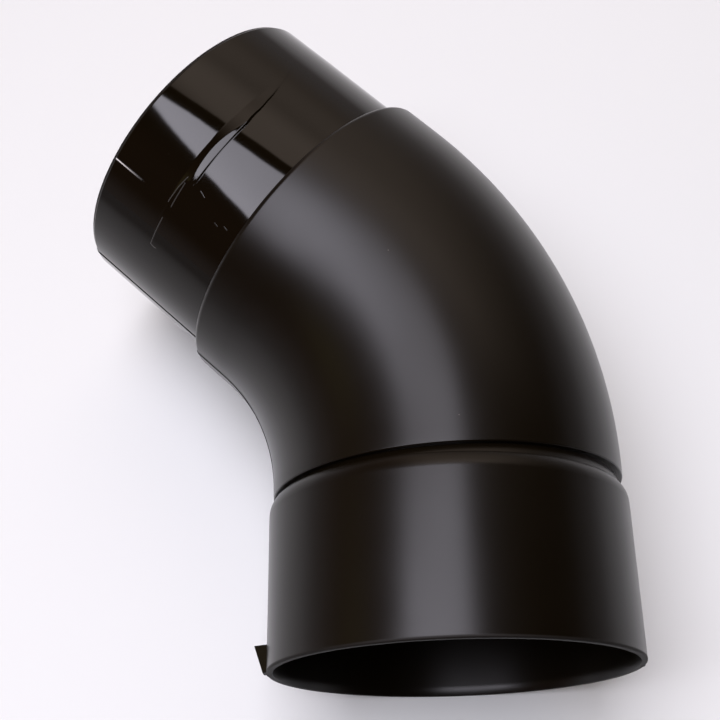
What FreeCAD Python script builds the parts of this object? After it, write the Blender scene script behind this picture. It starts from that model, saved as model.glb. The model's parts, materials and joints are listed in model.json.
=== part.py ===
import FreeCAD, Part
import math
import os

# Downspout elbow: one injection-moulded piece of rigid PVC for a round downspout of 76 mm outside diameter.
# The upper pipe is pushed into the socket, the tube turns, and the spigot goes into the lower pipe.
#
# Frame: the origin is the centre of the socket's mouth, and the socket runs along +Y.
# The tube bends towards -X in the XY plane, so the elbow lies on its side as it comes to rest, with +Z up.
# The spigot has a local frame of its own: its axis is local +Y, from the collar at 0 to the tip.

V = FreeCAD.Vector

# The pipe that the elbow joins
PIPE_OUTER_DIAMETER = 76.0
PIPE_WALL = 1.5
SOCKET_CLEARANCE = 0.2
SPIGOT_CLEARANCE = 0.25

# Socket, from its mouth to its shoulder
SOCKET_LENGTH = 36.9
SOCKET_WALL = 2.05
SOCKET_NARROWING = 0.66
MOUTH_EDGE_RADIUS = 0.4
LEAD_IN_WIDTH = 0.6
LEAD_IN_DEPTH = 0.9
PIPE_STOP_THICKNESS = 2.2
SHOULDER_INSET = 1.2
SHOULDER_HEIGHT = 3.2

# Groove between the shoulder and the bend: narrow at the inside of the bend, wide at the outside
GROOVE_WIDTH = 1.85
GROOVE_WEDGE_ANGLE = 1.6
NECK_WALL = 1.4
LIP_EDGE_RADIUS = 0.35

# Bend: its waterway is a step smaller than the pipe's, so that the pipe can't go past the socket
WATERWAY_STEP = 0.5
BEND_WALL = 2.7
LIP_STRAIGHT = 2.7
BEND_CENTRE_RADIUS = 76.9
BEND_ANGLE = 46.1
COLLAR_STRAIGHT = 9.4
COLLAR_EDGE_RADIUS = 1.4

# Spigot
SPIGOT_LENGTH = 36.4
SPIGOT_WALL = 2.1
TIP_CHAMFER_LENGTH = 1.0
TIP_CHAMFER_DEPTH = 0.5
TIP_INNER_CHAMFER = 0.5
FUNNEL_LENGTH = 6.0
FUNNEL_TO_COLLAR = 1.5

# Snug ridge, a crescent across the upper side of the spigot, and its twin on the lower side.
# Turns round the spigot are counted from straight up, positive towards the outside of the bend.
RIDGE_FROM_COLLAR = 17.2
RIDGE_HEIGHT = 0.2
RIDGE_COLLAR_FLANK = 1.8
RIDGE_TIP_FLANK = 1.5
RIDGE_HALF_SPREAD = 28.0
RIDGE_TURN = -8.0
# Its flanks go on into the wall until they are this many times as high and as long as they show
RIDGE_ROOTING = 2.0

# Crush rib, a fine line along the spigot that starts at the tip, and its twin
CRUSH_RIB_LENGTH = 8.5
CRUSH_RIB_WIDTH = 0.5
CRUSH_RIB_HEIGHT = 0.12
CRUSH_RIB_TURN = -38.0

# Lug on the socket's mouth, at the inside of the bend
LUG_THICKNESS = 2.4
LUG_FOOT = 0.5
LUG_HEIGHT = 6.2
LUG_FOOT_REACH = 0.85
LUG_TOP_REACH = 2.75
LUG_ROOT = 1.0

# How far a cutter or a hidden end runs past the face that it clears
OVERRUN = 1.0

# Sizes that follow from the ones above
socket_bore_radius = PIPE_OUTER_DIAMETER / 2 + SOCKET_CLEARANCE
mouth_radius = socket_bore_radius + SOCKET_WALL
pipe_stop = SOCKET_LENGTH - PIPE_STOP_THICKNESS
pipe_bore_radius = PIPE_OUTER_DIAMETER / 2 - PIPE_WALL
waterway_radius = pipe_bore_radius - WATERWAY_STEP
neck_radius = waterway_radius + NECK_WALL
bend_radius = waterway_radius + BEND_WALL
lip = SOCKET_LENGTH + GROOVE_WIDTH
bend_start = lip + LIP_STRAIGHT
spigot_radius = pipe_bore_radius - SPIGOT_CLEARANCE
spigot_bore_radius = spigot_radius - SPIGOT_WALL


def socket_radius(height):
    """Outside radius of the socket at a height above its mouth: it narrows a little towards the shoulder."""
    return mouth_radius - SOCKET_NARROWING * height / SOCKET_LENGTH


def corner(*points):
    """The straight edges that join radius and height points in turn."""
    spots = [V(radius, height, 0) for radius, height in points]
    return [Part.makeLine(a, b) for a, b in zip(spots, spots[1:])]


def arc(centre, radius, first_angle, last_angle):
    """An arc in the profile plane, with its angles counted from the radius direction."""
    spots = []
    for angle in (first_angle, (first_angle + last_angle) / 2, last_angle):
        turn = math.radians(angle)
        spots.append(V(centre[0] + radius * math.cos(turn), centre[1] + radius * math.sin(turn), 0))
    return [Part.Arc(*spots).toShape()]


def turned(edges):
    """The solid that a closed profile of radius and height sweeps round the Y axis."""
    face = Part.Face(Part.Wire(edges))
    return face.revolve(V(0, 0, 0), V(0, 1, 0), 360)


def bent(radius):
    """A solid tube of the given radius along the bend."""
    disc = Part.Face(Part.Wire(Part.makeCircle(radius, V(0, bend_start, 0), V(0, 1, 0))))
    return disc.revolve(V(-BEND_CENTRE_RADIUS, bend_start, 0), V(0, 0, 1), BEND_ANGLE)


def at_collar(shape):
    """Move a shape from the spigot's local frame to the end of the bend."""
    turn = math.radians(BEND_ANGLE)
    axis = V(-math.sin(turn), math.cos(turn), 0)
    bend_end = V(
        BEND_CENTRE_RADIUS * (math.cos(turn) - 1),
        bend_start + BEND_CENTRE_RADIUS * math.sin(turn),
        0,
    )
    moved = shape.copy()
    moved.rotate(V(0, 0, 0), V(0, 0, 1), BEND_ANGLE)
    moved.translate(bend_end + axis * COLLAR_STRAIGHT)
    return moved


def with_twin(shape):
    """A shape and its mirror image in the plane of the bend, where the mould parts."""
    return [shape, shape.mirror(V(0, 0, 0), V(0, 0, 1))]


def socket_outside():
    """The socket as a solid plug, with a rounded rim and a swept shoulder at its top."""
    rim_centre = (mouth_radius - MOUTH_EDGE_RADIUS, MOUTH_EDGE_RADIUS)
    shoulder_start = SOCKET_LENGTH - SHOULDER_HEIGHT
    sweep = (SHOULDER_HEIGHT**2 + SHOULDER_INSET**2) / (2 * SHOULDER_INSET)
    sweep_angle = math.degrees(math.asin(SHOULDER_HEIGHT / sweep))
    wall_top = socket_radius(shoulder_start)
    rim = arc(rim_centre, MOUTH_EDGE_RADIUS, -90, 0)
    shoulder = arc((wall_top - sweep, shoulder_start), sweep, 0, sweep_angle)
    edges = corner((0, 0), (rim_centre[0], 0))
    edges += rim
    edges += corner((mouth_radius, MOUTH_EDGE_RADIUS), (wall_top, shoulder_start))
    edges += shoulder
    edges += corner((wall_top - SHOULDER_INSET, SOCKET_LENGTH), (0, SOCKET_LENGTH), (0, 0))
    return turned(edges)


def plug(radius, bottom, top):
    """A plain round plug on the Y axis."""
    return turned(corner((0, bottom), (radius, bottom), (radius, top), (0, top), (0, bottom)))


def lip_outside():
    """The straight start of the tube, cut slantwise where it faces the socket, with a broken edge."""
    start = plug(bend_radius, SOCKET_LENGTH - OVERRUN, bend_start)
    reach = bend_radius + OVERRUN
    cutter = Part.makeBox(2 * reach, reach, 2 * reach, V(-reach, lip - reach, -reach))
    cutter.rotate(V(0, lip, 0), V(0, 0, 1), GROOVE_WEDGE_ANGLE)
    start = start.cut(cutter)
    lowest = min(start.Faces, key=lambda face: face.CenterOfMass.y)
    return start.makeFillet(LIP_EDGE_RADIUS, lowest.Edges)


def collar_and_spigot_outside():
    """The straight end of the bend with its rounded collar, and the spigot that stands out of it."""
    collar_centre = (bend_radius - COLLAR_EDGE_RADIUS, -COLLAR_EDGE_RADIUS)
    edges = corner((0, -COLLAR_STRAIGHT), (bend_radius, -COLLAR_STRAIGHT), (bend_radius, -COLLAR_EDGE_RADIUS))
    edges += arc(collar_centre, COLLAR_EDGE_RADIUS, 0, 90)
    edges += corner(
        (collar_centre[0], 0),
        (spigot_radius, 0),
        (spigot_radius, SPIGOT_LENGTH - TIP_CHAMFER_LENGTH),
        (spigot_radius - TIP_CHAMFER_DEPTH, SPIGOT_LENGTH),
        (0, SPIGOT_LENGTH),
        (0, -COLLAR_STRAIGHT),
    )
    return turned(edges)


def snug_ridge():
    """A disc with two sloping flanks, set off-centre so that it stands out of the spigot as a crescent."""
    offset = RIDGE_HEIGHT / (1 - math.cos(math.radians(RIDGE_HALF_SPREAD)))
    crest_radius = spigot_radius + RIDGE_HEIGHT - offset
    root_radius = crest_radius - RIDGE_ROOTING * RIDGE_HEIGHT
    collar_side = RIDGE_FROM_COLLAR - RIDGE_ROOTING * RIDGE_COLLAR_FLANK
    tip_side = RIDGE_FROM_COLLAR + RIDGE_ROOTING * RIDGE_TIP_FLANK
    disc = turned(
        corner(
            (0, collar_side),
            (root_radius, collar_side),
            (crest_radius, RIDGE_FROM_COLLAR),
            (root_radius, tip_side),
            (0, tip_side),
            (0, collar_side),
        )
    )
    disc.translate(V(0, 0, offset))
    disc.rotate(V(0, 0, 0), V(0, 1, 0), RIDGE_TURN)
    return disc


def crush_rib():
    """A fine raised line along the spigot that takes up the last of the pipe's clearance."""
    depth = CRUSH_RIB_HEIGHT + SPIGOT_WALL / 2
    start = SPIGOT_LENGTH - TIP_CHAMFER_LENGTH - CRUSH_RIB_LENGTH
    corner_point = V(-CRUSH_RIB_WIDTH / 2, start, spigot_radius - SPIGOT_WALL / 2)
    rib = Part.makeBox(CRUSH_RIB_WIDTH, CRUSH_RIB_LENGTH, depth, corner_point)
    rib.rotate(V(0, 0, 0), V(0, 1, 0), CRUSH_RIB_TURN)
    return rib


def lug():
    """A small wedge on the socket's mouth that widens away from the rim."""
    root = -(mouth_radius - LUG_ROOT)
    top = LUG_FOOT + LUG_HEIGHT
    outline = [
        V(root, LUG_FOOT, -LUG_THICKNESS / 2),
        V(-mouth_radius - LUG_FOOT_REACH, LUG_FOOT, -LUG_THICKNESS / 2),
        V(-mouth_radius - LUG_TOP_REACH, top, -LUG_THICKNESS / 2),
        V(root, top, -LUG_THICKNESS / 2),
    ]
    face = Part.Face(Part.makePolygon(outline + outline[:1]))
    return face.extrude(V(0, 0, LUG_THICKNESS))


def socket_inside():
    """The space that the upper pipe fills, its lead-in, and the waterway past the pipe stop."""
    mouth = socket_bore_radius + LEAD_IN_WIDTH
    return turned(
        corner(
            (0, -OVERRUN),
            (mouth, -OVERRUN),
            (mouth, 0),
            (socket_bore_radius, LEAD_IN_DEPTH),
            (socket_bore_radius, pipe_stop),
            (waterway_radius, pipe_stop),
            (waterway_radius, bend_start),
            (0, bend_start),
            (0, -OVERRUN),
        )
    )


def spigot_inside():
    """The waterway from the end of the bend through the funnel and out of the tip."""
    funnel_end = -FUNNEL_TO_COLLAR
    funnel_start = funnel_end - FUNNEL_LENGTH
    flare = spigot_bore_radius + TIP_INNER_CHAMFER
    return turned(
        corner(
            (0, -COLLAR_STRAIGHT),
            (waterway_radius, -COLLAR_STRAIGHT),
            (waterway_radius, funnel_start),
            (spigot_bore_radius, funnel_end),
            (spigot_bore_radius, SPIGOT_LENGTH - TIP_INNER_CHAMFER),
            (flare, SPIGOT_LENGTH),
            (flare, SPIGOT_LENGTH + OVERRUN),
            (0, SPIGOT_LENGTH + OVERRUN),
            (0, -COLLAR_STRAIGHT),
        )
    )


def elbow():
    """The whole moulding: its outside, less the waterway."""
    neck = plug(neck_radius, pipe_stop, bend_start)
    outside = socket_outside().multiFuse([neck, lip_outside(), bent(bend_radius), lug()])
    spigot_end = collar_and_spigot_outside().multiFuse(with_twin(snug_ridge()) + with_twin(crush_rib()))
    outside = outside.fuse(at_collar(spigot_end))
    waterway = socket_inside().multiFuse([bent(waterway_radius), at_collar(spigot_inside())])
    return outside.cut(waterway).removeSplitter()


def main():
    os.makedirs("parts", exist_ok=True)
    shape = elbow()
    box = shape.optimalBoundingBox()
    print("solids", len(shape.Solids), "valid", shape.isValid(), "volume %.1f mm3" % shape.Volume)
    print("size %.2f x %.2f x %.2f mm" % (box.XLength, box.YLength, box.ZLength))
    shape.Solids[0].exportStep("parts/elbow.step")


main()
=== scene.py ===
import json
import math

import bpy
import numpy as np
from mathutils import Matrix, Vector

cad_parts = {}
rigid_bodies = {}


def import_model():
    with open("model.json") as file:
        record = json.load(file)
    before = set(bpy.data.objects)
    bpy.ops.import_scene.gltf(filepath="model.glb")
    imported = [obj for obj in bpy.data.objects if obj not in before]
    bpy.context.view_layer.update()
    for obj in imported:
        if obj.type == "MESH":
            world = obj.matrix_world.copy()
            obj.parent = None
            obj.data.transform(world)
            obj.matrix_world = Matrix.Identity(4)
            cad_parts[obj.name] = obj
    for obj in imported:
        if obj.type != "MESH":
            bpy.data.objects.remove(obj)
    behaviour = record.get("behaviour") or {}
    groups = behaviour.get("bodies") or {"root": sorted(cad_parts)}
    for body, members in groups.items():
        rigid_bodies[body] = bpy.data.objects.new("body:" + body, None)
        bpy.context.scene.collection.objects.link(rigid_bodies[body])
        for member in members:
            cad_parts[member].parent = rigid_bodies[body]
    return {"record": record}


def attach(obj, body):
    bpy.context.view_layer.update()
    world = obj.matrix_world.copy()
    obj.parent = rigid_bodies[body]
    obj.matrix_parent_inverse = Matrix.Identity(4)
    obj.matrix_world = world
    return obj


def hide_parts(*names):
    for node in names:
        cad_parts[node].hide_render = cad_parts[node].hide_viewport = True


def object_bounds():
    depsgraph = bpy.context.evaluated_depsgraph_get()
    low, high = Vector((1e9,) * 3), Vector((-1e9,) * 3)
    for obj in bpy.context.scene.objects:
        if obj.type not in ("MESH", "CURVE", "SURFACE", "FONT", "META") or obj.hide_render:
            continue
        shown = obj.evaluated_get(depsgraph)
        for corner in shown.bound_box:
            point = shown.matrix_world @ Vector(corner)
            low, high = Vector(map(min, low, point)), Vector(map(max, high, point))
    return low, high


# The startup file's own objects go first
for startup_object in list(bpy.data.objects):
    bpy.data.objects.remove(startup_object)

# The frame gives the places and sizes of the downspout elbow's socket and spigot.
# The socket's mouth is on the origin and the socket runs along +Y.
# The tube bends towards -X in the XY plane.
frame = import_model()
cad_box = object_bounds()
mounts = {mount["name"]: mount for mount in frame["record"]["mounts"]}

MM = 0.001
UP = Vector((0, 0, 1))
ALONG_SOCKET = Vector((0, 1, 0))

# Socket, in millimetres, from its mouth to its shoulder
SOCKET_LENGTH = 36.9
SOCKET_WALL = 2.05
SOCKET_NARROWING = 0.66
MOUTH_EDGE_RADIUS = 0.4
LEAD_IN_WIDTH = 0.8
LEAD_IN_DEPTH = 2.3
PIPE_STOP_THICKNESS = 2.2
SHOULDER_INSET = 1.2
SHOULDER_HEIGHT = 3.2

# Groove and bend
GROOVE_WIDTH = 1.85
GROOVE_WEDGE_ANGLE = 1.6
NECK_WALL = 1.3
NECK_RISE = 0.75
LIP_EDGE_RADIUS = 0.35
LIP_STRAIGHT = 2.7
WATERWAY_RADIUS = 36.0
BEND_WALL = 2.7
BEND_CENTRE_RADIUS = 76.9
COLLAR_STRAIGHT = 9.4
COLLAR_EDGE_RADIUS = 1.4

# Spigot
SPIGOT_LENGTH = 36.4
SPIGOT_WALL = 2.1
TIP_CHAMFER_LENGTH = 1.0
TIP_CHAMFER_DEPTH = 0.5
TIP_INNER_CHAMFER = 0.5
FUNNEL_LENGTH = 6.0
FUNNEL_TO_COLLAR = 1.5

# Snug ridge: a ramp that rises from the tip's side to a curved crest, a narrow top, and a sharp step that
# faces the collar. It has a twin on the far side of the bend's plane.
# Turns round the spigot are in degrees from straight up, positive towards the outside of the bend.
RIDGE_RAMP_START = 19.0
RIDGE_RAMP_SLOPE = 0.11
RIDGE_CREST = 17.42
RIDGE_CREST_TURN = -17.5
RIDGE_CREST_FALL = 0.005
RIDGE_TOP_SLOPE = 0.03
RIDGE_STEP_LENGTH = 0.22
RIDGE_RING_STEP = 0.15

# Where the step is, as turns and distances from the collar
RIDGE_STEP = (
    (-50.0, 19.2),
    (-44.0, 18.5),
    (-30.5, 18.0),
    (-27.5, 15.6),
    (-0.4, 15.55),
    (2.5, 15.9),
    (7.8, 16.1),
    (15.1, 17.0),
    (20.1, 18.05),
    (24.7, 18.95),
    (31.5, 21.0),
    (40.0, 23.6),
)

# Past the step the spigot narrows to its tip. On the outside of the bend the step goes on as a low crease.
TIP_NARROWING = 0.16
NARROWING_TURNS = (-58.0, -40.0)
CREASE_HEIGHT = 0.07
CREASE_LENGTH = 1.5
CREASE_TURNS = (5.0, 15.0, 28.0, 38.0)
CREASE_SHARES = (0, 1, 1, 0)
CREASE_END = 28.0

# Parting line: a fine raised line all round the outside, in the plane of the bend
PARTING_HALF_WIDTH = 0.12
PARTING_HEIGHT = 0.14

# Crush rib along the spigot, with a twin; its crest is coloured pale in a stripe that grows towards the
# tip
CRUSH_RIB_LENGTH = 8.5
CRUSH_RIB_WIDTH = 0.5
CRUSH_RIB_HEIGHT = 0.12
CRUSH_RIB_TURN = -39.8
PALE_CREST_WIDTH = 0.2
PALE_CREST_START = 26.0

# Lug on the socket's mouth, at the inside of the bend; it thins from the wall to its outer edge
LUG_THICKNESS = 5.0
LUG_TAPER_ANGLE = 27.0
LUG_FOOT = 0.45
LUG_HEIGHT = 5.95
LUG_FOOT_REACH = 0.85
LUG_TOP_REACH = 2.75
LUG_ROOT = 1.0

# Fineness of the mesh. Points within the weld gap are one point, and the seam gap joins the two halves.
SEGMENTS = 360
BEND_STEPS = 46
ARC_STEP = 12.0
BROKEN_EDGE = 0.08
LUG_BROKEN_EDGE = 0.12
WELD_GAP = 0.001
SEAM_GAP = 0.01
WALL_SLACK = 0.01
SHARP_ANGLE = math.radians(20)
SMOOTH_ANGLE = math.radians(40)

# Finish: the rim and the tip's chamfer are duller than the walls beside them
PLASTIC_COLOUR = (0.0036, 0.0022, 0.0007)
DUST_COLOUR = (0.20, 0.18, 0.16)
PALE_MARK_COLOUR = (0.75, 0.72, 0.68)
PLASTIC_IOR = 1.33
SATIN_ROUGHNESS = 0.285
SATIN_UNEVENNESS = 0.03
GLOSS_ROUGHNESS = 0.05
GLOSS_UNEVENNESS = 0.02
RIM_ROUGHNESS = 0.65
RIM_DEPTH = 0.8
RIM_BORDER = 0.05
COLLAR_BORDER = 0.1
OUTSIDE_DEPTH = 0.3
GRAIN_SIZE = 0.35
GRAIN_HEIGHT = 0.004
GRAIN_DETAIL = 2.0
WAVE_SIZE = 9.0
WAVE_HEIGHT = 0.012
WAVE_DETAIL = 1.0
DUST_SPACING = 6.0
DUST_SIZE = 0.16
DUST_SHARE = 0.3
DUST_ROUGHNESS = 0.4

# Fine lines that the mould's core left on the spigot, as turns in degrees and distances from the collar
LINE_WIDTH = 0.18
LINE_HEIGHT = 0.04
LINE_PALENESS = 0.05
UPPER_LINE = ((-28.2, 17.9), (-33.2, 18.5), (-39.4, 18.8))
LOWER_LINE = ((-30.5, 17.65), (-40.3, 17.6))
HOOKED_LINE = ((-45.8, 18.25), (-55.5, 18.45), (-58.1, 18.5), (-58.4, 17.5), (-58.2, 16.9))

# Short scratches on the near side of the spigot, in the same units
SCRATCHES = (((-29.1, 13.5), (-30.0, 11.9)), ((-34.6, 6.6), (-34.9, 5.6)), ((-33.4, 4.2), (-33.8, 3.2)))
SCRATCH_DEPTH = 0.3

# Studio, painted by direction from the elbow: x is to the side, y is lengthways and z is up.
# The window is overhead, the backdrop lies past its far edge, the glow and the wall are on the left,
# and the haze hides the horizon.
# The window's edges are slopes, which are x or y for each unit of z. There z is the lowest rise at least.
# A pair says where a light starts and where it is full, and a set of four adds its strength at the two.
LOWEST_RISE = 0.05
WINDOW_FOOT = (0.05, 0.1)
WINDOW_LEFT = -0.755
WINDOW_LEFT_SLANT = 0.632
WINDOW_RIGHT = 0.14
WINDOW_BACK = 0.418
WINDOW_BACK_SLANT = 0.15
WINDOW_NEAR = -0.1
WINDOW_NEAR_END = -0.4
WINDOW_EDGE = 0.02
WINDOW_STRENGTH = 7.9
WINDOW_LEFT_BAND = 0.35
WINDOW_LEFT_GAIN = 1.4
WINDOW_COLOUR = (1.0, 0.97, 1.09)
BACKDROP_GAP = 0.085
BACKDROP_COLOUR = (1.0, 0.82, 0.70)
BACKDROP_STRENGTH = 2.0
BACKDROP_LOW = (-0.05, 0.55, 0.07, 0.5)
BACKDROP_HIGH = (0.6, 0.8, 0.0, 0.37)
BACKDROP_LEFT = (-0.5, -0.15)
BACKDROP_RIGHT = (0.95, 0.3)
GLOW_DIRECTION = (-0.89, 0.08, 0.45)
GLOW_EDGE = (0.975, 0.995)
GLOW_COLOUR = (1.0, 0.9, 0.3)
GLOW_STRENGTH = 0.32
WALL_SIDE = (0.1, -0.3)
WALL_TOP = (0.9, 0.6)
WALL_COLOUR = (0.12, 0.07, 0.055)
HAZE_COLOUR = (0.252, 0.238, 0.249)
HAZE_TOP = 0.3

# Floor, in metres: it is pale as far as its near reach, and painted shade darkens its colour towards its
# far reach, standing in for light that falls off away from the elbow
FLOOR_SIZE = 40.0
FLOOR_MIDDLE = (-0.02, 0.075)
FLOOR_COLOUR = (0.65, 0.67, 0.645)
FLOOR_PAINTED_SHADE_COLOUR = (0.18, 0.18, 0.175)
FLOOR_NEAR_REACH = 0.13
FLOOR_FAR_REACH = 0.6
FLOOR_ROUGHNESS = 0.6
FLOOR_IOR = 2.1

# Camera: its place, lens and sensor in millimetres, its turn in degrees, and its reach in metres
CAMERA_PLACE = (-15.379, -44.015, 294.291)
CAMERA_TURN = (21.46, 1.183, -1.347)
CAMERA_LENS = 68.057
CAMERA_SENSOR = 36.0
CAMERA_REACH = (0.01, 50.0)

# Sizes that follow
socket_bore = mounts["socket"]["dims"]["r_mm"]
spigot_radius = mounts["spigot"]["dims"]["r_mm"]
spigot_axis = Vector(mounts["spigot"]["axis"])
half_spigot = mounts["spigot"]["dims"]["length_mm"] * MM / 2
collar_centre = Vector(mounts["spigot"]["pos_m"]) - spigot_axis * half_spigot
spigot_side = spigot_axis.cross(UP).normalized()
bend_angle = math.atan2(-spigot_axis.x, spigot_axis.y)
mouth_radius = socket_bore + SOCKET_WALL
pipe_stop = SOCKET_LENGTH - PIPE_STOP_THICKNESS
neck_radius = WATERWAY_RADIUS + NECK_WALL
bend_radius = WATERWAY_RADIUS + BEND_WALL
lip = SOCKET_LENGTH + GROOVE_WIDTH
bend_start = lip + LIP_STRAIGHT
spigot_bore = spigot_radius - SPIGOT_WALL


# Shapes

def arc(centre, radius, first_angle, last_angle):
    """Radius and height points along an arc, with angles counted from the radius direction."""
    steps = max(2, math.ceil(abs(last_angle - first_angle) / ARC_STEP))
    points = []
    for step in range(steps + 1):
        turn = math.radians(first_angle + (last_angle - first_angle) * step / steps)
        points.append((centre[0] + radius * math.cos(turn), centre[1] + radius * math.sin(turn)))
    return points


def levels(radius, start, end, step):
    """Points up a straight wall, evenly spaced."""
    count = max(1, math.ceil(abs(end - start) / step))
    return [(radius, start + (end - start) * index / count) for index in range(count + 1)]


def socket_profile():
    """The socket's wall, from the waterway down to its mouth and up over the shoulder and the groove."""
    shoulder_start = SOCKET_LENGTH - SHOULDER_HEIGHT
    wall_top = mouth_radius - SOCKET_NARROWING * shoulder_start / SOCKET_LENGTH
    sweep = (SHOULDER_HEIGHT**2 + SHOULDER_INSET**2) / (2 * SHOULDER_INSET)
    sweep_angle = math.degrees(math.asin(SHOULDER_HEIGHT / sweep))
    points = [(WATERWAY_RADIUS, bend_start), (WATERWAY_RADIUS, pipe_stop), (socket_bore, pipe_stop)]
    points += [(socket_bore, LEAD_IN_DEPTH), (socket_bore + LEAD_IN_WIDTH, 0)]
    points += arc((mouth_radius - MOUTH_EDGE_RADIUS, MOUTH_EDGE_RADIUS), MOUTH_EDGE_RADIUS, -90, 0)
    points += arc((wall_top - sweep, shoulder_start), sweep, 0, sweep_angle)
    points += [(neck_radius + NECK_RISE, SOCKET_LENGTH), (neck_radius, lip)]
    points += arc((bend_radius - LIP_EDGE_RADIUS, lip + LIP_EDGE_RADIUS), LIP_EDGE_RADIUS, -90, 0)
    points += [(bend_radius, bend_start)]
    return points


def spigot_profile():
    """The spigot's wall, from the end of the bend over the collar to its tip and back through its bore."""
    chamfer_start = SPIGOT_LENGTH - TIP_CHAMFER_LENGTH
    ridge_start = min(along for turn, along in RIDGE_STEP) - 2 * RIDGE_STEP_LENGTH
    ridge_end = RIDGE_RAMP_START + 2 * RIDGE_RING_STEP
    funnel_end = -FUNNEL_TO_COLLAR
    points = [(bend_radius, -COLLAR_STRAIGHT)]
    points += arc((bend_radius - COLLAR_EDGE_RADIUS, -COLLAR_EDGE_RADIUS), COLLAR_EDGE_RADIUS, 0, 90)
    points += [(spigot_radius, 0)]
    points += levels(spigot_radius, ridge_start, ridge_end, RIDGE_RING_STEP)
    points += levels(spigot_radius, ridge_end, CREASE_END, 2 * RIDGE_RING_STEP)[1:]
    points += [(spigot_radius, chamfer_start), (spigot_radius - TIP_CHAMFER_DEPTH, SPIGOT_LENGTH)]
    points += [(spigot_bore + TIP_INNER_CHAMFER, SPIGOT_LENGTH)]
    points += [(spigot_bore, SPIGOT_LENGTH - TIP_INNER_CHAMFER), (spigot_bore, funnel_end)]
    points += [(WATERWAY_RADIUS, funnel_end - FUNNEL_LENGTH)]
    points += [(WATERWAY_RADIUS, -COLLAR_STRAIGHT)]
    return points


def turned(name, profile, origin, side, axis):
    """A wall spun round an axis from its profile of radius and height points."""
    spots = [origin + (side * radius + axis * height) * MM for radius, height in profile]
    bpy.ops.mesh.primitive_plane_add(size=MM)
    piece = bpy.context.object
    piece.name = name
    bpy.ops.object.mode_set(mode="EDIT")
    bpy.ops.mesh.merge(type="CENTER")
    bpy.ops.transform.translate(value=spots[0])
    for before, after in zip(spots, spots[1:]):
        bpy.ops.mesh.extrude_vertices_move(TRANSFORM_OT_translate={"value": after - before})
    bpy.ops.mesh.select_all(action="SELECT")
    bpy.ops.mesh.spin(steps=SEGMENTS, angle=math.tau, center=origin, axis=axis)
    bpy.ops.mesh.select_all(action="SELECT")
    bpy.ops.mesh.remove_doubles(threshold=WELD_GAP * MM)
    bpy.ops.object.mode_set(mode="OBJECT")
    return piece


def select_where(piece, wanted):
    """Select only the vertices at the places that are wanted, in edit mode."""
    bpy.ops.object.mode_set(mode="EDIT")
    bpy.ops.mesh.select_mode(type="VERT")
    bpy.ops.mesh.select_all(action="DESELECT")
    bpy.ops.object.mode_set(mode="OBJECT")
    for vertex in piece.data.vertices:
        vertex.select = wanted(vertex.co)
    bpy.ops.object.mode_set(mode="EDIT")


def slant_lip(piece):
    """Turn the bend's lip a little, so that the groove widens towards the outside of the bend."""
    top = (lip + 2 * LIP_EDGE_RADIUS) * MM
    bottom = (SOCKET_LENGTH + lip) / 2 * MM
    inner = (WATERWAY_RADIUS + NECK_WALL / 2) * MM
    select_where(piece, lambda spot: bottom < spot.y < top and math.hypot(spot.x, spot.z) > inner)
    bpy.ops.transform.rotate(
        value=-math.radians(GROOVE_WEDGE_ANGLE),
        orient_axis="Z",
        center_override=(0, lip * MM, 0),
    )
    bpy.ops.object.mode_set(mode="OBJECT")


def bend_tube(piece):
    """Spin the socket's open end round the centre of the bend."""
    end = (bend_start - LIP_STRAIGHT / 10) * MM
    select_where(piece, lambda spot: spot.y > end)
    bpy.ops.mesh.spin(
        steps=BEND_STEPS,
        angle=bend_angle,
        center=(-BEND_CENTRE_RADIUS * MM, bend_start * MM, 0),
        axis=(0, 0, -1),
    )
    bpy.ops.object.mode_set(mode="OBJECT")


def raise_snug_ridge(piece):
    """Lift the spigot's wall into the snug ridge, and narrow it from the ridge's step to the tip."""
    spots = np.array([vertex.co for vertex in piece.data.vertices])
    axis, side, centre = np.array(spigot_axis), np.array(spigot_side), np.array(collar_centre)
    along = (spots - centre) @ axis / MM
    out = (spots - centre) @ side / MM
    height = spots[:, 2] / MM
    radius = np.hypot(out, height)
    turn = np.degrees(np.arctan2(out, np.abs(height)))
    step = np.interp(turn, *zip(*RIDGE_STEP))
    crest = RIDGE_CREST - RIDGE_CREST_FALL * (turn - RIDGE_CREST_TURN) ** 2
    ramp = RIDGE_RAMP_SLOPE * (RIDGE_RAMP_START - along)
    top = RIDGE_RAMP_SLOPE * (RIDGE_RAMP_START - crest) - RIDGE_TOP_SLOPE * (crest - along)
    past_step = np.clip((along - step) / RIDGE_STEP_LENGTH + 0.5, 0, 1)
    crease = CREASE_HEIGHT * (1 - (along - step) / CREASE_LENGTH)
    crease *= np.interp(turn, CREASE_TURNS, CREASE_SHARES)
    lift = np.maximum(np.maximum(np.minimum(ramp, top), crease), 0) * past_step
    narrowing = TIP_NARROWING * np.maximum(along - step, 0) / (SPIGOT_LENGTH - RIDGE_RAMP_START)
    narrowing *= np.interp(turn, NARROWING_TURNS, (0, 1))
    on_wall = (np.abs(radius - spigot_radius) < WALL_SLACK) | (along > SPIGOT_LENGTH - WALL_SLACK)
    grown = np.where(on_wall, 1 + (lift - narrowing) / radius, 1.0)
    across = np.outer(out * (grown - 1), side) + np.outer(height * (grown - 1), np.array(UP))
    piece.data.vertices.foreach_set("co", (spots + across * MM).ravel())
    piece.data.update()


def break_edges(piece, width):
    """Round every sharp edge a little."""
    bevel = piece.modifiers.new("broken_edges", "BEVEL")
    bevel.width = width * MM
    bevel.segments = 2
    bevel.limit_method = "ANGLE"
    bevel.angle_limit = SHARP_ANGLE
    bpy.context.view_layer.objects.active = piece
    bpy.ops.object.modifier_apply(modifier=bevel.name)


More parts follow.
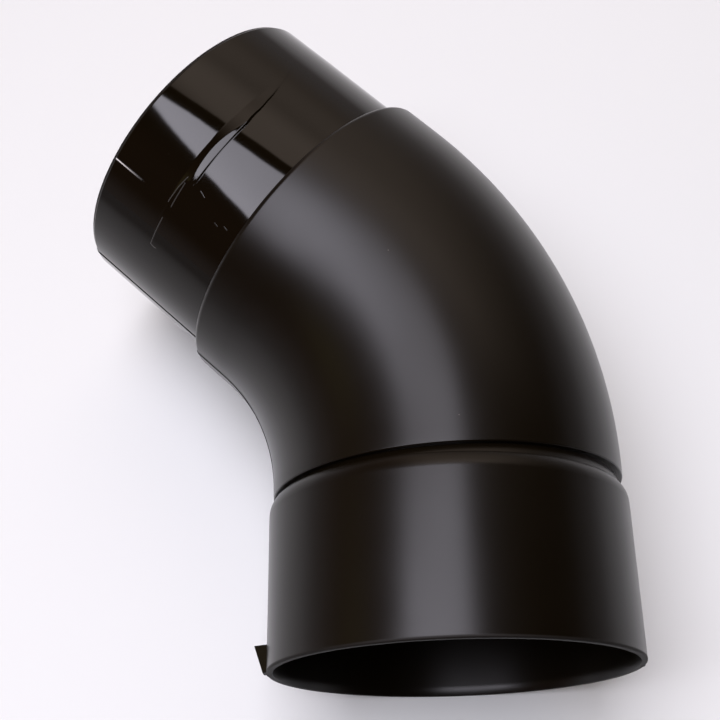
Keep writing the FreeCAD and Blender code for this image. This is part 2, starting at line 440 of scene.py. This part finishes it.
def wall_depth(spot):
    """How far a place in the plane of the bend lies outside the middle of the wall, in millimetres."""
    x, y = spot.x / MM, spot.y / MM
    past_collar = (spot - collar_centre).dot(spigot_axis) / MM
    if y < SOCKET_LENGTH:
        return abs(x) - (socket_bore + SOCKET_WALL / 2)
    if y < lip + LIP_EDGE_RADIUS:
        return -BEND_WALL
    if past_collar > -COLLAR_EDGE_RADIUS / 2:
        return abs((spot - collar_centre).dot(spigot_side) / MM) - (spigot_bore + SPIGOT_WALL / 2)
    ahead = max(y - bend_start, 0)
    from_centre = math.hypot(x + BEND_CENTRE_RADIUS, ahead)
    return abs(from_centre - BEND_CENTRE_RADIUS) - (WATERWAY_RADIUS + BEND_WALL / 2)


def on_parting_line(spot):
    """Whether a place is on the outside, where the two halves of the mould met."""
    return abs(spot.z) < WELD_GAP * MM and wall_depth(spot) > 0


def raise_parting_line(piece):
    """Raise a fine line all along the parting line."""
    select_where(piece, on_parting_line)
    bpy.ops.mesh.bevel(offset=PARTING_HALF_WIDTH * MM, segments=2, affect="EDGES")
    bpy.ops.object.mode_set(mode="OBJECT")
    select_where(piece, on_parting_line)
    bpy.ops.transform.shrink_fatten(value=PARTING_HEIGHT * MM)
    bpy.ops.object.mode_set(mode="OBJECT")


def block(name, low, high):
    """A closed block between two corners, in millimetres."""
    low, high = Vector(low) * MM, Vector(high) * MM
    bpy.ops.mesh.primitive_cube_add(size=1, location=(low + high) / 2, scale=high - low)
    bpy.ops.object.transform_apply()
    piece = bpy.context.object
    piece.name = name
    return piece


def lug():
    """The wedge on the socket's mouth, which reaches further out away from the rim."""
    top = LUG_FOOT + LUG_HEIGHT
    middle = LUG_FOOT + LUG_HEIGHT / 2
    wall = -mouth_radius
    taper = math.tan(math.radians(LUG_TAPER_ANGLE))
    low = (wall - LUG_ROOT, LUG_FOOT, -LUG_THICKNESS / 2)
    high = (wall + LUG_ROOT, top, LUG_THICKNESS / 2)
    piece = block("lug", low, high)
    for reach, far_end in ((LUG_FOOT_REACH, False), (LUG_TOP_REACH, True)):
        select_where(piece, lambda spot: spot.x < wall * MM and (spot.y > middle * MM) == far_end)
        bpy.ops.transform.translate(value=((LUG_ROOT - reach) * MM, 0, 0))
        thinned = 1 - taper * (LUG_ROOT + reach) / (LUG_THICKNESS / 2)
        bpy.ops.transform.resize(value=(1, 1, thinned), center_override=(0, 0, 0))
        bpy.ops.object.mode_set(mode="OBJECT")
    break_edges(piece, LUG_BROKEN_EDGE)
    return piece


def crush_ribs():
    """The fine raised line along the spigot, and its twin on the far side of the bend's plane."""
    start = SPIGOT_LENGTH - TIP_CHAMFER_LENGTH - CRUSH_RIB_LENGTH
    low = (-CRUSH_RIB_WIDTH / 2, start, spigot_radius - CRUSH_RIB_WIDTH)
    high = (CRUSH_RIB_WIDTH / 2, start + CRUSH_RIB_LENGTH, spigot_radius + CRUSH_RIB_HEIGHT)
    rib = block("crush_rib", low, high)
    break_edges(rib, CRUSH_RIB_HEIGHT)
    twin = rib.copy()
    twin.data = rib.data.copy()
    bpy.context.scene.collection.objects.link(twin)
    for piece, turn in ((rib, CRUSH_RIB_TURN), (twin, 180 - CRUSH_RIB_TURN)):
        bpy.ops.object.select_all(action="DESELECT")
        piece.select_set(True)
        bpy.context.view_layer.objects.active = piece
        piece.rotation_euler = (0, math.radians(turn), 0)
        bpy.ops.object.transform_apply()
        piece.rotation_euler = (0, 0, bend_angle)
        piece.location = collar_centre
        bpy.ops.object.transform_apply()
    return rib, twin


def fuse(piece, addition):
    """Join a closed piece onto another as one solid."""
    union = piece.modifiers.new("union", "BOOLEAN")
    union.operation = "UNION"
    union.solver = "EXACT"
    union.object = addition
    bpy.context.view_layer.objects.active = piece
    bpy.ops.object.modifier_apply(modifier=union.name)
    bpy.data.objects.remove(addition)


def build_elbow():
    """The whole wall of the elbow as one closed mesh."""
    bpy.ops.object.select_all(action="DESELECT")
    mouth, socket_side = Vector((0, 0, 0)), Vector((1, 0, 0))
    socket = turned("elbow_moulding", socket_profile(), mouth, socket_side, ALONG_SOCKET)
    slant_lip(socket)
    bend_tube(socket)
    spigot = turned("spigot", spigot_profile(), collar_centre, spigot_side, spigot_axis)
    raise_snug_ridge(spigot)
    socket.select_set(True)
    bpy.context.view_layer.objects.active = socket
    bpy.ops.object.join()
    bpy.ops.object.mode_set(mode="EDIT")
    bpy.ops.mesh.select_all(action="SELECT")
    bpy.ops.mesh.remove_doubles(threshold=SEAM_GAP * MM)
    bpy.ops.mesh.normals_make_consistent(inside=False)
    bpy.ops.object.mode_set(mode="OBJECT")
    break_edges(socket, BROKEN_EDGE)
    raise_parting_line(socket)
    for addition in (lug(), *crush_ribs()):
        fuse(socket, addition)
    bpy.ops.object.select_all(action="DESELECT")
    socket.select_set(True)
    bpy.ops.object.shade_smooth_by_angle(angle=SMOOTH_ANGLE)
    evening = socket.modifiers.new("even_shading", "WEIGHTED_NORMAL")
    evening.keep_sharp = True
    bpy.ops.object.modifier_apply(modifier=evening.name)
    return socket


# Finishes

class Wire:
    """A number that flows between shader nodes: Python arithmetic on it adds Math nodes."""

    def __init__(self, recipe, socket):
        self.recipe = recipe
        self.socket = socket

    def math(self, operation, *others):
        """The result of one Math node on this number and others."""
        values = dict(enumerate((self, *others)))
        return self.recipe.node("ShaderNodeMath", {"operation": operation}, values)

    def __add__(self, other):
        return self.math("ADD", other)

    __radd__ = __add__

    def __sub__(self, other):
        return self.math("SUBTRACT", other)

    def __rsub__(self, other):
        return self.recipe.number(other) - self

    def __mul__(self, other):
        return self.math("MULTIPLY", other)

    __rmul__ = __mul__

    def __truediv__(self, other):
        return self.math("DIVIDE", other)

    def __abs__(self):
        return self.math("ABSOLUTE")


class Recipe:
    """The shader nodes of one material or of the world."""

    def __init__(self, owner):
        owner.use_nodes = True
        self.tree = owner.node_tree
        self.tree.nodes.clear()

    def node(self, kind, settings=None, inputs=None, output=0):
        """Add a node with its settings and its inputs' values or wires, and give one of its outputs."""
        made = self.tree.nodes.new(kind)
        for name, value in (settings or {}).items():
            setattr(made, name, value)
        for name, value in (inputs or {}).items():
            if isinstance(value, Wire):
                self.tree.links.new(value.socket, made.inputs[name])
            else:
                made.inputs[name].default_value = value
        return Wire(self, made.outputs[output]) if len(made.outputs) else made

    def number(self, value):
        """A plain number as a wire."""
        made = self.node("ShaderNodeValue")
        made.socket.default_value = value
        return made

    def parts(self, vector):
        """The three numbers of a vector."""
        x = self.node("ShaderNodeSeparateXYZ", inputs={0: vector})
        outputs = x.socket.node.outputs
        return Wire(self, outputs[0]), Wire(self, outputs[1]), Wire(self, outputs[2])

    def rise(self, value, start, end, low=0.0, high=1.0):
        """A smooth step from low to high as a value goes from start to end."""
        return self.node(
            "ShaderNodeMapRange",
            {"interpolation_type": "SMOOTHSTEP"},
            {"Value": value, "From Min": start, "From Max": end, "To Min": low, "To Max": high},
        )

    def noise(self, place, scale, detail):
        """A soft random pattern round 0.5."""
        inputs = {"Vector": place, "Scale": scale, "Detail": detail}
        return self.node("ShaderNodeTexNoise", inputs=inputs)

    def tinted(self, colour, strength):
        """A colour at a strength that varies."""
        inputs = {0: colour, "Scale": strength}
        return self.node("ShaderNodeVectorMath", {"operation": "SCALE"}, inputs)

    def sum(self, first, second):
        """Two coloured lights together."""
        return self.node("ShaderNodeVectorMath", {"operation": "ADD"}, {0: first, 1: second})

    def beside(self, wire, name):
        """Another output of the node that a wire comes from."""
        return Wire(self, wire.socket.node.outputs[name])

    def blend(self, factor, first, second):
        """A mix of two colours, by the mix node's numbers for its colour sockets."""
        inputs = {"Factor": factor, 6: first, 7: second}
        return self.node("ShaderNodeMix", {"data_type": "RGBA"}, inputs, output=2)


def near_lines(recipe, around, along, *lines):
    """1 on the lines through points of turn and distance from the collar, and 0 away from them."""
    nearest = None
    for line in lines:
        spots = [(math.radians(turn) * spigot_radius, distance) for turn, distance in line]
        for (around_from, along_from), (around_to, along_to) in zip(spots, spots[1:]):
            run, climb = around_to - around_from, along_to - along_from
            share = ((around - around_from) * run + (along - along_from) * climb) / (run**2 + climb**2)
            share = share.math("MAXIMUM", 0.0).math("MINIMUM", 1.0)
            aside = around - around_from - share * run
            ahead = along - along_from - share * climb
            gap = (aside * aside + ahead * ahead).math("SQRT")
            nearest = gap if nearest is None else nearest.math("MINIMUM", gap)
    return recipe.rise(nearest, LINE_WIDTH, LINE_WIDTH / 3)


def elbow_plastic():
    """Near-black brown rigid PVC: satin from the mould on the socket and bend, glossy on the spigot."""
    material = bpy.data.materials.new("elbow_plastic")
    recipe = Recipe(material)
    spot = recipe.node("ShaderNodeTexCoord", output="Object")
    x, y, z = recipe.parts(spot)
    past_x = (x - collar_centre.x) / MM
    past_y = (y - collar_centre.y) / MM
    along = past_x * spigot_axis.x + past_y * spigot_axis.y
    out = past_x * spigot_side.x + past_y * spigot_side.y
    turn = out.math("ARCTAN2", abs(z) / MM)
    around = turn * spigot_radius
    gloss = recipe.rise(along, 0.0, COLLAR_BORDER)
    from_axis = (out * out + z * z / MM**2).math("SQRT")
    outside = recipe.rise(from_axis, spigot_radius - OUTSIDE_DEPTH, spigot_radius - OUTSIDE_DEPTH / 2)
    marked = gloss * outside

    grain = recipe.noise(spot, 1 / (GRAIN_SIZE * MM), GRAIN_DETAIL)
    wave = recipe.noise(spot, 1 / (WAVE_SIZE * MM), WAVE_DETAIL)
    near_side = recipe.rise(z, 0.0, MM)
    lines = near_lines(recipe, around, along, UPPER_LINE, LOWER_LINE, HOOKED_LINE) * marked
    scratches = near_lines(recipe, around, along, *SCRATCHES) * marked * near_side * SCRATCH_DEPTH
    lines = lines.math("MAXIMUM", scratches)
    height = grain * GRAIN_HEIGHT * (1 - gloss) + wave * WAVE_HEIGHT + lines * LINE_HEIGHT
    normal = recipe.node("ShaderNodeBump", inputs={"Strength": 1.0, "Distance": MM, "Height": height})

    speck_inputs = {"Vector": spot, "Scale": 1 / (DUST_SPACING * MM)}
    speck = recipe.node("ShaderNodeTexVoronoi", inputs=speck_inputs)
    chance = recipe.node("ShaderNodeSeparateColor", inputs={0: recipe.beside(speck, "Color")})
    dust = recipe.rise(speck, DUST_SIZE / DUST_SPACING, 0.0) * chance.math("LESS_THAN", DUST_SHARE)
    colour = recipe.blend(dust, (*PLASTIC_COLOUR, 1.0), (*DUST_COLOUR, 1.0))
    # A pale stripe of colour along the crush rib's crest, growing towards the tip; the fine lines take a
    # little of the same pale colour
    rib_gap = abs(around - math.radians(CRUSH_RIB_TURN) * spigot_radius)
    on_rib = recipe.rise(rib_gap, PALE_CREST_WIDTH, PALE_CREST_WIDTH / 2)
    pale_crest = on_rib * recipe.rise(along, PALE_CREST_START, SPIGOT_LENGTH) * marked
    colour = recipe.blend(pale_crest.math("MAXIMUM", lines * LINE_PALENESS), colour, (*PALE_MARK_COLOUR, 1.0))

    base = SATIN_ROUGHNESS + (GLOSS_ROUGHNESS - SATIN_ROUGHNESS) * gloss
    from_socket_axis = (x * x + z * z).math("SQRT") / MM
    lead_in_edge = socket_bore + LEAD_IN_WIDTH
    rim = recipe.rise(from_socket_axis, lead_in_edge - RIM_BORDER, lead_in_edge + RIM_BORDER)
    rim = rim * recipe.rise(y, RIM_DEPTH * MM, RIM_DEPTH * MM / 2)
    base = base + (RIM_ROUGHNESS - SATIN_ROUGHNESS) * rim
    chamfer_start = SPIGOT_LENGTH - TIP_CHAMFER_LENGTH
    tip = recipe.rise(along, chamfer_start, chamfer_start + TIP_CHAMFER_LENGTH / 2)
    base = base + (RIM_ROUGHNESS - GLOSS_ROUGHNESS) * tip
    spread = SATIN_UNEVENNESS + (GLOSS_UNEVENNESS - SATIN_UNEVENNESS) * gloss
    roughness = base + (wave - 0.5) * spread + dust * DUST_ROUGHNESS
    surface = recipe.node(
        "ShaderNodeBsdfPrincipled",
        inputs={"Base Color": colour, "Roughness": roughness, "IOR": PLASTIC_IOR, "Normal": normal},
    )
    recipe.node("ShaderNodeOutputMaterial", inputs={"Surface": surface})
    return material


def floor_paint():
    """A satin white board whose colour is darkened away from the elbow by painted shade, in place of light
    falling off.
    """
    material = bpy.data.materials.new("floor_paint")
    recipe = Recipe(material)
    x, y, z = recipe.parts(recipe.node("ShaderNodeTexCoord", output="Object"))
    aside = x - FLOOR_MIDDLE[0]
    ahead = y - FLOOR_MIDDLE[1]
    distance = (aside * aside + ahead * ahead).math("SQRT")
    # Painted shade: the floor's colour darkens from its near reach to its far reach
    far = recipe.rise(distance, FLOOR_NEAR_REACH, FLOOR_FAR_REACH)
    surface = recipe.node(
        "ShaderNodeBsdfPrincipled",
        inputs={
            "Base Color": recipe.blend(far, (*FLOOR_COLOUR, 1.0), (*FLOOR_PAINTED_SHADE_COLOUR, 1.0)),
            "Roughness": FLOOR_ROUGHNESS,
            "IOR": FLOOR_IOR,
        },
    )
    recipe.node("ShaderNodeOutputMaterial", inputs={"Surface": surface})
    return material


# Stage

def add_floor():
    """A wide pale floor that the elbow lies on."""
    bpy.ops.object.select_all(action="DESELECT")
    bpy.ops.mesh.primitive_plane_add(size=FLOOR_SIZE, location=(0, 0, cad_box[0].z))
    floor = bpy.context.object
    floor.name = "floor"
    floor.data.materials.append(floor_paint())


def add_studio():
    """The studio round the elbow: an overhead window of light, a dim backdrop, dark sides and a haze."""
    world = bpy.data.worlds.new("studio")
    bpy.context.scene.world = world
    recipe = Recipe(world)
    x, y, z = recipe.parts(recipe.node("ShaderNodeTexCoord", output="Generated"))
    above = z.math("MAXIMUM", LOWEST_RISE)
    side_slope = x / above
    length_slope = y / above
    past_back = length_slope - (WINDOW_BACK + WINDOW_BACK_SLANT * side_slope)
    past_left = side_slope - (WINDOW_LEFT + WINDOW_LEFT_SLANT * length_slope)
    left = recipe.rise(past_left, 0.0, WINDOW_EDGE)
    left = left * recipe.rise(past_left, WINDOW_LEFT_BAND, 0.0, 1.0, WINDOW_LEFT_GAIN)
    right = recipe.rise(WINDOW_RIGHT - side_slope, 0.0, WINDOW_EDGE)
    back = recipe.rise(past_back, 0.0, -WINDOW_EDGE)
    near = recipe.rise(length_slope, WINDOW_NEAR_END, WINDOW_NEAR)
    window = left * right * back * near * recipe.rise(z, *WINDOW_FOOT)
    upwards = recipe.rise(z, *BACKDROP_LOW) + recipe.rise(z, *BACKDROP_HIGH)
    sideways = recipe.rise(x, *BACKDROP_LEFT) * recipe.rise(x, *BACKDROP_RIGHT)
    backdrop = recipe.rise(past_back, BACKDROP_GAP, BACKDROP_GAP + WINDOW_EDGE) * sideways * upwards
    towards_glow = x * GLOW_DIRECTION[0] + y * GLOW_DIRECTION[1] + z * GLOW_DIRECTION[2]
    glow = recipe.rise(towards_glow, *GLOW_EDGE)
    wall = recipe.rise(x, *WALL_SIDE) * recipe.rise(z, *WALL_TOP)
    haze = recipe.rise(z, HAZE_TOP, 0.0)
    light = recipe.sum(recipe.tinted(WALL_COLOUR, wall), recipe.tinted(HAZE_COLOUR, haze))
    light = recipe.sum(light, recipe.tinted(BACKDROP_COLOUR, backdrop * BACKDROP_STRENGTH))
    light = recipe.sum(light, recipe.tinted(GLOW_COLOUR, glow * GLOW_STRENGTH))
    light = recipe.sum(light, recipe.tinted(WINDOW_COLOUR, window * WINDOW_STRENGTH))
    background = recipe.node("ShaderNodeBackground", inputs={"Color": light})
    recipe.node("ShaderNodeOutputWorld", inputs={"Surface": background})


def add_camera():
    """The camera looks down on the elbow as it lies on its side."""
    data = bpy.data.cameras.new("camera")
    data.lens = CAMERA_LENS
    data.sensor_width = CAMERA_SENSOR
    data.clip_start, data.clip_end = CAMERA_REACH
    camera = bpy.data.objects.new("camera", data)
    camera.location = Vector(CAMERA_PLACE) * MM
    camera.rotation_euler = [math.radians(angle) for angle in CAMERA_TURN]
    bpy.context.scene.collection.objects.link(camera)
    bpy.context.scene.camera = camera


elbow = build_elbow()
elbow.data.materials.append(elbow_plastic())
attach(elbow, "root")
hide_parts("elbow")
add_floor()
add_studio()
add_camera()
bpy.context.scene.view_settings.view_transform = "Standard"
